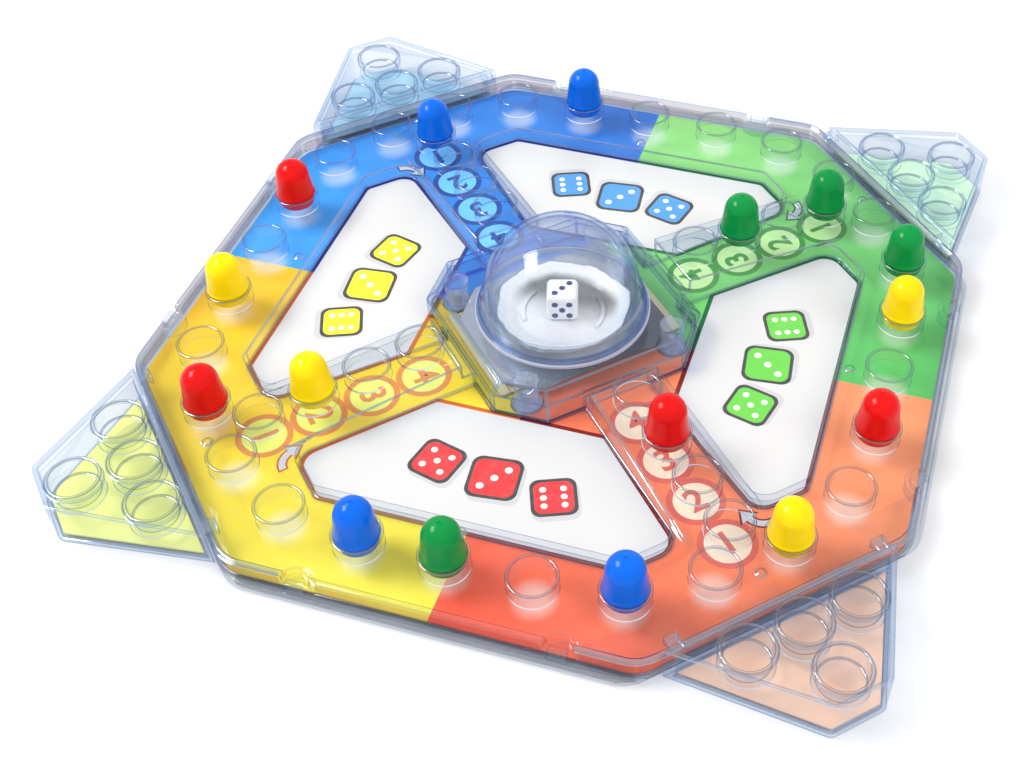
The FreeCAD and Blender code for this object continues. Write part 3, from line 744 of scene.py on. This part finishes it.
class BOARD_OT_printed_card(BoardPiece, bpy.types.Operator):
    """Printed card: four colour zones, window panels, home discs, numbers and start arrows"""
    bl_idname = "board.printed_card"
    bl_label = "Printed card"

    ink = 0.02      # thickness of one printed layer

    def layer(self, number):
        return CARD_TOP + self.ink * number, CARD_TOP + self.ink * (number + 0.8)

    def execute(self, context):
        sizes = self.sizes
        zones = card_ink("zone_print", ZONE_START, ZONE_END, sizes, (HOME_FILL, HOME_LINE))
        recoat("printed_card", zones)
        lines = card_ink("line_print", ZONE_LINE_AND_SHADE, ZONE_LINE_AND_SHADE, sizes)
        self.windows(lines)
        self.numbers()
        self.arrows(lines)
        return {"FINISHED"}

    def windows(self, lines):
        overlap = 0.5       # how far the panel lies inside the window
        width = self.sizes.border_width / MM
        # The dark band round each window is partly a printed line and partly painted shade at the foot of
        # the pocket walls.
        edge = bmesh.new()
        for side in range(4):
            outer = [side_place(side, *p) for p in window_outline(width - overlap)]
            inner = [side_place(side, *p) for p in window_outline(-overlap - 0.2)]
            band(edge, outer, inner, *self.layer(0))
        piece("window_borders", edge, "board", [lines])
        white = flat_ink("white_print", (0.62, 0.62, 0.615))
        panel = bmesh.new()
        for side in range(4):
            slab(panel, [side_place(side, *p) for p in window_outline(-overlap)], *self.layer(1))
        piece("window_panels", panel, "board", [white])
        self.dice_pictures()

    def dice_pictures(self):
        """Three tilted dice faces in each window, with a grey shadow and a dark outline."""
        tints = ((0.72, 0.035, 0.04), (0.13, 0.55, 0.06), (0.07, 0.29, 0.68), (0.90, 0.83, 0.02))
        inks = [flat_ink("shadow_print", (0.52, 0.52, 0.53)), flat_ink("outline_print", (0.05, 0.05, 0.05)),
                flat_ink("pip_print", (0.94, 0.94, 0.93))]
        art = bmesh.new()
        for side, tint in enumerate(tints):
            inks.append(flat_ink("picture_print_%d" % (side + 1), tint))
            self.dice_face(art, side, -18.5, -68.0, size=12.5, tilt=-14.0, count=5)
            self.dice_face(art, side, 0.5, -69.5, size=14.0, tilt=6.0, count=3)
            self.dice_face(art, side, 20.0, -71.5, size=12.0, tilt=22.0, count=6)
        piece("window_pictures", art, "board", inks)

    def dice_face(self, art, side, x, y, size, tilt, count):
        """One face: its shadow, its outline, its square and its pips, each a layer higher."""
        half = size / 2.0
        pitch = half * 0.52
        pip_r = half * 0.17

        def show(points, layer, slot, shift=(0.0, 0.0)):
            places = []
            for u, v in points:
                p, q = turned(u, v, tilt)
                places.append(side_place(side, x + p + shift[0], y + q + shift[1]))
            slab(art, places, *self.layer(layer), slot=slot)

        squares = ((half + 1.3, 2, 0, (1.1, -1.3)), (half + 1.1, 3, 1, (0.0, 0.0)),
                   (half, 4, side + 3, (0.0, 0.0)))
        for reach, layer, slot, shift in squares:
            corners = [(-reach, -reach), (reach, -reach), (reach, reach), (-reach, reach)]
            show(rounded(corners, [reach * 0.42] * 4, 6), layer, slot, shift)
        for u, v in PIPS[count]:
            show(arc(pip_r, 0.0, FULL_TURN, 20, (u * pitch, v * pitch))[:-1], 5, 2)

    def numbers(self):
        """Plain numbers 1 to 4 along each arm, read from that player's corner."""
        font_size = self.sizes.number_height * 1.35      # a figure is shorter than its font's size
        for corner, team in enumerate(COLOURS):
            spin = Matrix.Rotation(radians(corner_turn(corner) + 90.0), 4, "Z")
            joined = bmesh.new()
            for place, along in enumerate(HOME):
                text = bpy.data.curves.new("number", "FONT")
                text.body = str(len(HOME) - place)
                text.size = font_size
                text.align_x = "CENTER"
                text.align_y = "CENTER"
                text.extrude = self.ink * MM * 0.4
                text.offset = 0.0003
                holder = linked("number", text)
                x, y = corner_place(corner, along)
                holder.matrix_world = Matrix.Translation(put(x, y, sum(self.layer(1)) / 2.0)) @ spin
                bpy.context.view_layer.update()
                graph = bpy.context.evaluated_depsgraph_get()
                shape = bpy.data.meshes.new_from_object(holder.evaluated_get(graph))
                shape.transform(holder.matrix_world)
                joined.from_mesh(shape)
                bpy.data.objects.remove(holder)
                bpy.data.curves.remove(text)
                bpy.data.meshes.remove(shape)
            bmesh.ops.remove_doubles(joined, verts=joined.verts, dist=SAME * MM)
            data = bpy.data.meshes.new("home_numbers_" + team)
            joined.to_mesh(data)
            joined.free()
            ink = flat_ink("number_print_" + team, HOME_LINE[corner])
            from_data(data.name, data, "board", [ink])

    @staticmethod
    def arrow_outline(grow):
        """A curved arrow round a quarter turn, in its own frame and grown outwards by grow."""
        start, bend = radians(168.0 + grow * 8.0), radians(92.0)
        outer, middle, inner = 7.6 + grow, 6.4, 5.2 - grow
        barb, tip = 3.3 + grow * 1.5, 4.5 + grow * 1.6
        neck_x, neck_y = middle * cos(bend), middle * sin(bend)
        head = [(neck_x, neck_y + barb), (neck_x + tip, neck_y), (neck_x, neck_y - barb)]
        return arc(outer, start, bend, 12) + head + arc(inner, bend, start, 12)

    def arrows(self, lines):
        """A white arrow with a dark outline beside each player's start."""
        scale, turn, across, back = 0.86, 58.0, -58.2, -80.4
        mesh = bmesh.new()
        white = bpy.data.materials["white_print"]
        for corner in range(4):
            for grow, layer, slot in ((0.7, 2, 0), (0.0, 3, 1)):
                points = []
                for u, v in self.arrow_outline(grow):
                    p, q = turned(u * scale, v * scale, turn)
                    points.append(side_place(corner, p + across, q + back))
                slab(mesh, points, *self.layer(layer), slot=slot)
        piece("start_arrows", mesh, "board", [lines, white])


class BOARD_OT_top_cover(BoardPiece, bpy.types.Operator):
    """Clear top cover with window pockets, sloping arms, ridge and dice housing"""
    bl_idname = "board.top_cover"
    bl_label = "Top cover"

    def execute(self, context):
        looks = clear_looks("clear_plastic", "edge_line", "clear_wall", "clear_post", "deep_line",
                            "clear_housing", "edge_band", "housing_line", "faint_line", "outer_wall")
        moulded("top_cover", "cover_moulding", "board", looks,
                self.sizes.edge_round, self.look)
        return {"FINISHED"}

    @staticmethod
    def look(place, normal, edge):
        """Walls are darker than the plate and the board's own sides darkest of all.

        The posts are cloudy, the housing has its own tints with a deep blue foot, and the edges in
        the notches and along the flange are faint.
        """
        across, along = sorted((abs(place.x), abs(place.y)))
        low = place.z < COVER_LOW + FOOT_BAND
        at_post = hypot(across, along - POST_PLACE) < POST_R + MARGIN
        if at_post and place.z < HOUSING_UNDER + MARGIN:
            return "clear_post"
        if along < HOUSING_SIDE + 1.0 and across + along < (HOUSING_CHAMFER + 1.0) * ROOT2:
            if low and (edge or normal.z < -LEVEL):
                return "deep_line"
            return "housing_line" if edge else "clear_housing"
        if edge:
            in_notch = hypot(across - CLIP_X, along - COVER_SIDE) < NOTCH_R + NEAR
            on_flange = low and along > WINDOW_SIDE + NEAR
            return "faint_line" if in_notch or on_flange else "edge_line"
        on_ridge = place.z > RIDGE_TOP - MARGIN and along > HOUSING_SIDE * 2.0
        if normal.z > LEVEL and on_ridge:
            return "edge_band"
        if abs(normal.z) > UPRIGHT:
            return "clear_plastic"
        outside = max(along - COVER_SIDE, (across + along) / ROOT2 - COVER_CHAMFER) > -NEAR
        return "outer_wall" if outside else "clear_wall"


def socket_profile(radius, bore, low, rim, floor, edge):
    """Half section of a ring with a rounded rim; floor is the thickness left under the bore."""
    waist = radius - FILLET_IN
    foot = [(radius, low), (waist, low + FILLET_H), (radius, rim - RIM_BAND), (radius, rim), (bore, rim)]
    if floor > 0.0:
        points = [(0.0, low)] + foot + [(bore, low + floor), (0.0, low + floor)]
        return rounded(points, [0.0, 0.0, 0.0, 0.0, edge, edge, edge * 1.6, 0.0])
    return rounded(foot + [(bore - BORE_TAPER, low)], [0.0, 0.0, 0.0, edge, edge, 0.0])


def sloping(low, high):
    """Whether a lathe's band between two places is neither level nor upright."""
    across, up = abs(high[0] - low[0]), abs(high[1] - low[1])
    return min(across, up) >= SLOPE_SHARE * max(across, up)


def socket_look(low, high):
    """A ring's slots by band: 0 wall, 1 rounded rim, 2 fillet at the foot."""
    if not sloping(low, high):
        return 0
    return 2 if abs(abs(high[1] - low[1]) - FILLET_H) < SAME else 1


class BOARD_OT_sockets(BoardPiece, bpy.types.Operator):
    """Rings for the pegs round the track and up the four arms"""
    bl_idname = "board.sockets"
    bl_label = "Peg sockets"

    def execute(self, context):
        edge = self.sizes.socket_edge / MM
        looks = clear_looks("clear_ring", "rim_line", "foot_line")
        for side, side_name in enumerate(SIDES):
            mesh = bmesh.new()
            profile = socket_profile(SOCKET_R, BORE_R, PLATE_TOP, SOCKET_RIM, 0.0, edge)
            for place in range(-3, 4):
                x, y = TRACK[abs(place)]
                x, y = side_place(side, copysign(x, place), -y)
                lathe(mesh, profile, x, y, pick=socket_look)
            piece("rings_" + side_name, mesh, "board", looks, ["track_sockets_" + side_name])
        for corner, team in enumerate(COLOURS):
            mesh = bmesh.new()
            for along in HOME:
                self.home_ring(mesh, corner, along, edge)
            piece("rings_home_" + team, mesh, "board", looks, ["home_sockets_" + team])
        return {"FINISHED"}

    @staticmethod
    def home_ring(mesh, corner, along, edge):
        """One ring on an arm, with its foot cut to the arm's slope."""
        foot = arm_top(along)
        before = len(mesh.verts)
        profile = socket_profile(SOCKET_R, BORE_R, foot, foot + RING_H, 0.0, edge)
        lathe(mesh, profile, *corner_place(corner, along), pick=socket_look)
        mesh.verts.ensure_lookup_table()
        for vert in mesh.verts[before:]:
            if abs(vert.co.z / MM - foot) < SAME:
                here, _ = turned(vert.co.x / MM, vert.co.y / MM, -corner_turn(corner))
                vert.co.z = arm_top(here) * MM


class BOARD_OT_corner_trays(BoardPiece, bpy.types.Operator):
    """Four clip-on trays with wells for the pegs at rest, and their tinted cards"""
    bl_idname = "board.corner_trays"
    bl_label = "Corner trays"

    def execute(self, context):
        edge = self.sizes.socket_edge / MM
        box = clear_looks("clear_plastic", "tray_line", "clear_wall", "edge_band")
        cups = clear_looks("clear_ring", "rim_line", "foot_line")
        for corner, team in enumerate(COLOURS):
            body = "tray_" + team
            moulded("corner_tray_" + team, "tray_moulding_" + team, body,
                    box, self.sizes.edge_round * THIN_EDGE, self.look)
            recoat("corner_floor_" + team, clear_look())
            recoat("corner_card_" + team, self.tray_print(corner, team))
            mesh = bmesh.new()
            for along, across in WELLS:
                rim = tray_top(along)
                low = rim - WELL_DEPTH - WELL_FLOOR_T
                profile = socket_profile(WELL_R, WELL_BORE_R, low, rim, WELL_FLOOR_T, edge)
                lathe(mesh, profile, *corner_place(corner, along, across), pick=socket_look)
            piece("wells_" + team, mesh, body, cups, ["corner_wells_" + team])
        return {"FINISHED"}

    @staticmethod
    def look(place, normal, edge):
        """The walls' upper ends gather light, so they are drawn as blue bands."""
        along = (abs(place.x) + abs(place.y)) / ROOT2
        if edge:
            return "tray_line"
        if normal.z > LEVEL and place.z > tray_top(along) - TRAY_BAND:
            return "edge_band"
        return "clear_wall" if abs(normal.z) < UPRIGHT else "clear_plastic"

    @staticmethod
    def tray_print(corner, team):
        """A pale printed tint, with painted shade making it deeper under the wells."""
        paint = Paint("tray_print_" + team)
        x, y, _ = paint.ordinates()
        near = nearest(x, y, [corner_place(corner, *well) for well in WELLS])
        pale = TRAY_TINT[corner]
        deep = tuple(c ** 1.25 for c in pale)
        fibres = paint.fibres()
        # painted shade: the tint deepens under each well
        tint = paint.mix(near.ramp(*WELL_SHADE_FADE) * 0.8, pale, deep)
        tint = paint.mix((fibres - 0.42) * 0.2, tint, (0.98, 0.97, 0.92))
        return paint.coat(
            base_color=tint, roughness=fibres * 0.14 + 0.32, ior=1.45,
            normal=paint.bump(fibres, 0.05, 0.0002))


class BOARD_OT_pegs(BoardPiece, bpy.types.Operator):
    """Sixteen glossy pegs with a flared foot and a plug in the socket"""
    bl_idname = "board.pegs"
    bl_label = "Pegs"

    def execute(self, context):
        for team in COLOURS:
            tint = tuple(getattr(self.tints, "peg_" + team))
            # 0.05 is the strength of the pegs' painted glow
            material = peg_plastic("peg_%s_plastic" % team, tint, 0.05)
            for number in range(1, 5):
                node = "peg_%s_%d" % (team, number)
                low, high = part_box(node)
                middle = (low + high) / 2.0
                profile = self.profile(low.z / MM, high.z / MM)
                mesh = bmesh.new()
                lathe(mesh, profile, middle.x / MM, middle.y / MM, 56)
                piece("piece_" + node, mesh, node, [material], [node])
        return {"FINISHED"}

    @staticmethod
    def profile(low, high):
        """Plug, flared foot, slightly tapered body, round head and the small ring on its top."""
        seat = low + PLUG_L
        flare_top, waist = seat + 1.2, seat + 4.0
        foot = [(0.0, low), (PLUG_R, low), (PLUG_R, seat), (PEG_FOOT_R, seat), (PEG_R + 0.12, flare_top),
                (PEG_R - 0.15, waist)]
        points = rounded(foot, [0.0, 0.5, 0.1, 0.15, 1.6, 0.0], 4)
        points += arc(HEAD_R, 0.0, radians(88.0), 14, (0.0, high - HEAD_R))[:-1]
        ring_foot, ring_inside, hollow = high - 0.06, high - 0.22, high - 0.25
        return points + [(0.95, ring_foot), (0.78, high), (0.62, high), (0.50, ring_inside), (0.0, hollow)]


class BOARD_OT_dome(BoardPiece, bpy.types.Operator):
    """Clear press dome over the die"""
    bl_idname = "board.dome"
    bl_label = "Press dome"

    def execute(self, context):
        outer_r, inner_r = 25.7, 24.3
        flange_r, flange_top = 28.4, 12.0
        skirt_r, skirt_top = 26.9, 16.4
        quarter = radians(90.0)
        outline = [(inner_r, DISH_TOP), (flange_r, DISH_TOP), (flange_r, flange_top), (skirt_r, flange_top),
                   (skirt_r, skirt_top), (outer_r + 0.25, skirt_top + 0.9)]
        points = rounded(outline, [0.0, 0.3, 0.3, 0.5, 0.8, 0.0], 4)
        points += arc(outer_r, radians(3.0), quarter, 24, (0.0, DOME_CENTRE))
        points += arc(inner_r, quarter, 0.0, 24, (0.0, DOME_CENTRE))
        mesh = bmesh.new()
        lathe(mesh, points, steps=112, pick=self.look)
        piece("press_dome", mesh, "popper", clear_looks("dome_plastic", "edge_line"), ["dome"])
        return {"FINISHED"}

    @staticmethod
    def look(low, high):
        """The skirt's and the flange's rounded edges are drawn as lines, in slot 1."""
        return 1 if sloping(low, high) and max(low[1], high[1]) < DOME_CENTRE else 0


class BOARD_OT_dish(BoardPiece, bpy.types.Operator):
    """White die floor with a sunk middle painted grey as shade, darker at the back, and two curved ribs"""
    bl_idname = "board.dish"
    bl_label = "Die floor"

    def execute(self, context):
        material = self.plastic()
        sunk_r, rim_r = 15.0, 28.9
        under, floor_top, rim_under = 6.6, 8.0, 10.0
        points = [(0.0, under), (sunk_r, under), (20.5, rim_under), (rim_r, rim_under), (rim_r, DISH_TOP),
                  (21.4, DISH_TOP), (20.3, DISH_TOP - 0.3), (sunk_r, floor_top), (0.0, floor_top)]
        mesh = bmesh.new()
        lathe(mesh, rounded(points, [0.0, 1.0, 1.0, 0.2, 0.3, 0.8, 1.4, 2.2, 0.0], 5), steps=96)
        piece("die_floor", mesh, "popper", [material], ["die_dish"])
        rib_out, rib_in, rib_foot, rib_top = 14.0, 12.6, 7.7, 8.6
        ribs = bmesh.new()
        for ends in ((150.0, 218.0), (-20.0, 48.0)):
            start, end = (radians(a) for a in ends)
            slab(ribs, arc(rib_out, start, end, 16) + arc(rib_in, end, start, 16), rib_foot, rib_top)
        upper = [e for e in ribs.edges if all(v.co.z > (rib_top - MARGIN) * MM for v in e.verts)]
        bmesh.ops.bevel(ribs, geom=upper, offset=0.35 * MM, segments=2, affect="EDGES")
        piece("die_floor_ribs", ribs, "popper", [material])
        return {"FINISHED"}

    def plastic(self):
        """White with a grey middle of painted shade, darker towards the back, and a clear ring with an
        uneven edge under the dome's foot.
        """
        white = tuple(self.tints.white_plastic)
        paint = Paint("dish_plastic")
        x, y, _ = paint.ordinates()
        away = x.away(0.0, 0.0, y)
        grain = paint.noise(420.0, 3.0)
        cloud = paint.noise(75.0, 3.0)
        # painted shade: the sunk middle turns grey, from lighter at the front to darkest at the back
        grey = paint.mix((y + cloud * 6.0).ramp(0.0, 12.0), (0.72, 0.72, 0.73), (0.13, 0.13, 0.14))
        tint = paint.mix((away + cloud * 4.0).ramp(21.0, 17.5), white, grey)
        skin = paint.plastic(base_color=tint, roughness=grain * 0.12 + 0.22, ior=1.49, coat_weight=0.3,
                             coat_roughness=0.1, normal=paint.bump(cloud, 0.45, 0.002))
        mirror = paint.mirror((0.95, 0.97, 1.0), grain * 0.05 + 0.05)
        clear = paint.see_through((0.82, 0.88, 0.94))
        thin = paint.mixed(cloud.ramp(0.40, 0.75) * 0.28 + 0.14, clear, mirror)
        ring = (away + cloud * 6.0).ramp(24.3, 25.0) * away.ramp(28.2, 27.9)
        return paint.finish(paint.mixed(ring, skin, thin))


class BOARD_OT_spring(BoardPiece, bpy.types.Operator):
    """Steel spring plate, and the white frame with its rails"""
    bl_idname = "board.spring"
    bl_label = "Spring plate"

    def execute(self, context):
        # The plate's light and deep ends are painted reflection and shade.
        steel = brushed_steel("spring_steel", (0.82, 0.82, 0.80), (0.22, 0.22, 0.22), (1.0, 9.0, 1.0))
        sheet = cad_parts["spring_plate"].data.copy()
        sheet.materials.clear()
        plate = from_data("spring_sheet", sheet, "board", [steel], ["spring_plate"])
        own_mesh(plate)
        moulded("spring_frame", "frame_moulding", "board", [self.cream()],
                self.sizes.edge_round)
        # The screws carry the same painted reflection and shade, only faint.
        zinc = brushed_steel("screw_steel", (0.62, 0.62, 0.64), (0.52, 0.52, 0.54), (1.0, 1.0, 1.0))
        moulded("housing_screws", "screws", "board", [zinc],
                self.sizes.edge_round * SCREW_EDGE)
        return {"FINISHED"}

    @staticmethod
    def cream():
        paint = Paint("cream_plastic")
        grain = paint.noise(420.0, 3.0)
        cloud = paint.noise(38.0, 2.0)
        tint = paint.mix(cloud.ramp(0.3, 0.75), (0.744, 0.651, 0.3348), (0.80, 0.70, 0.36))
        return paint.coat(
            base_color=tint, roughness=grain * 0.10 + 0.30, ior=1.49,
            normal=paint.bump(grain, 0.06, 0.0002))


class BOARD_OT_die(BoardPiece, bpy.types.Operator):
    """White die with sunk dark pips"""
    bl_idname = "board.die"
    bl_label = "Die"

    def execute(self, context):
        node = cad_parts["die"]
        data = node.data.copy()
        data.name = "white_die"
        data.materials.clear()
        white = Paint("die_plastic")
        grain = white.noise(300.0, 3.0)
        shade = white.mix(grain.ramp(0.3, 0.8), (0.78, 0.78, 0.80), (0.84, 0.84, 0.86))
        body = white.coat(base_color=shade, roughness=grain * 0.06 + 0.12, ior=1.5,
                          coat_weight=0.3, coat_roughness=0.05)
        # 0.02 is the strength of the pips' painted glow
        pips = peg_plastic("pip_plastic", tuple(self.tints.pips), 0.02)
        spin = Matrix.Rotation(radians(-DIE_TURN), 3, "Z")
        for face in data.polygons:
            here = spin @ (face.center - put(0, 0, DIE_MIDDLE)) / MM
            depth = max(abs(c) for c in here)
            face.material_index = int(depth < DIE_HALF - 0.01 and self.in_pip(here))
        from_data("white_die", data, "die", [body, pips], ["die"],
                  DIE_SMOOTH_ANGLE)
        return {"FINISHED"}

    @staticmethod
    def in_pip(here):
        """Whether a face's middle lies in one of the round hollows."""
        axis = max(range(3), key=lambda i: abs(here[i]))
        flat = [here[i] for i in range(3) if i != axis]
        return all(min(abs(abs(c) - PIP_PITCH), abs(c)) < PIP_R for c in flat)


class BOARD_OT_studio(BoardPiece, bpy.types.Operator):
    """Pale floor, soft lights and the camera"""
    bl_idname = "board.studio"
    bl_label = "Studio"

    def execute(self, context):
        self.floor()
        self.lights(context)
        self.camera(context)
        context.scene.view_settings.view_transform = "Standard"
        context.scene.cycles.transparent_max_bounces = 32
        context.scene.cycles.max_bounces = 8
        return {"FINISHED"}

    def floor(self):
        paint = Paint("floor_paper")
        cloud = paint.noise(3.0, 2.0)
        tint = paint.mix(cloud.ramp(0.2, 0.8), (0.70, 0.70, 0.705), (0.72, 0.72, 0.72))
        material = paint.coat(base_color=tint, roughness=0.6, specular_ior_level=0.2)
        mesh = bmesh.new()
        half, under = 2500.0, -20.0
        slab(mesh, [(-half, -half), (half, -half), (half, half), (-half, half)], under, 0.0)
        linked("floor", finished("floor", mesh), [material])

    def lights(self, context):
        world = bpy.data.worlds.new("studio")
        context.scene.world = world
        world.use_nodes = True
        background = world.node_tree.nodes["Background"].inputs
        background["Color"].default_value = (1.0, 1.0, 1.0, 1.0)
        background["Strength"].default_value = 0.74
        for name, place, size, power in (
                ("key", (-700.0, -150.0, 850.0), 0.55, 9.0),
                ("fill", (700.0, -300.0, 700.0), 0.60, 4.5),
                ("strip", (-150.0, 900.0, 420.0), 0.40, 3.0)):
            light = bpy.data.lights.new(name, "AREA")
            light.shape = "RECTANGLE"
            light.size = size
            light.size_y = size * 0.6
            light.energy = power
            holder = linked(name, light)
            holder.location = put(*place)
            aim = put(0.0, 0.0, 10.0) - holder.location
            holder.rotation_euler = aim.to_track_quat("-Z", "Y").to_euler()
            holder.visible_glossy = name == "key"

    def camera(self, context):
        turn, rise, reach = radians(-73.5826), radians(46.843), 427.18
        width, height, sensor = 1024.0, 783.0, 36.0
        focal, middle_x, middle_y = 1390.93, 613.26, 392.45     # in pixels of that width
        data = bpy.data.cameras.new("camera")
        data.sensor_width = sensor
        data.lens = focal / width * sensor
        data.shift_x = 0.5 - middle_x / width
        data.shift_y = (middle_y - height / 2.0) / width
        data.clip_start = 0.01
        camera = linked("camera", data)
        target = put(27.93, -35.88, SOCKET_RIM)
        away = Vector((cos(rise) * cos(turn), cos(rise) * sin(turn), sin(rise)))
        camera.location = target + away * reach * MM
        camera.rotation_euler = (-away).to_track_quat("-Z", "Y").to_euler()
        context.scene.camera = camera


OPERATORS = (BOARD_OT_base_tray, BOARD_OT_printed_card, BOARD_OT_top_cover, BOARD_OT_sockets,
             BOARD_OT_corner_trays, BOARD_OT_pegs, BOARD_OT_dome, BOARD_OT_dish, BOARD_OT_spring,
             BOARD_OT_die, BOARD_OT_studio)


class BOARD_PT_panel(bpy.types.Panel):
    """Sidebar panel that lists the board's pieces and settings"""
    bl_idname = "BOARD_PT_panel"
    bl_label = "Board Game"
    bl_space_type = "VIEW_3D"
    bl_region_type = "UI"
    bl_category = "Board Game"

    def draw(self, context):
        for operator in OPERATORS:
            self.layout.operator(operator.bl_idname)
        for group in (context.scene.board_sizes, context.scene.board_colours):
            for key in group.__annotations__:
                self.layout.prop(group, key)


CLASSES = (BoardSizes, BoardColours, *OPERATORS, BOARD_PT_panel)


def register():
    for cls in CLASSES:
        bpy.utils.register_class(cls)
    bpy.types.Scene.board_sizes = PointerProperty(type=BoardSizes)
    bpy.types.Scene.board_colours = PointerProperty(type=BoardColours)


def unregister():
    del bpy.types.Scene.board_colours
    del bpy.types.Scene.board_sizes
    for cls in reversed(CLASSES):
        bpy.utils.unregister_class(cls)


def build_board():
    """Makes every piece in order."""
    register()
    for operator in OPERATORS:
        group, name = operator.bl_idname.split(".")
        getattr(getattr(bpy.ops, group), name)()


if __name__ == "__main__":
    build_board()
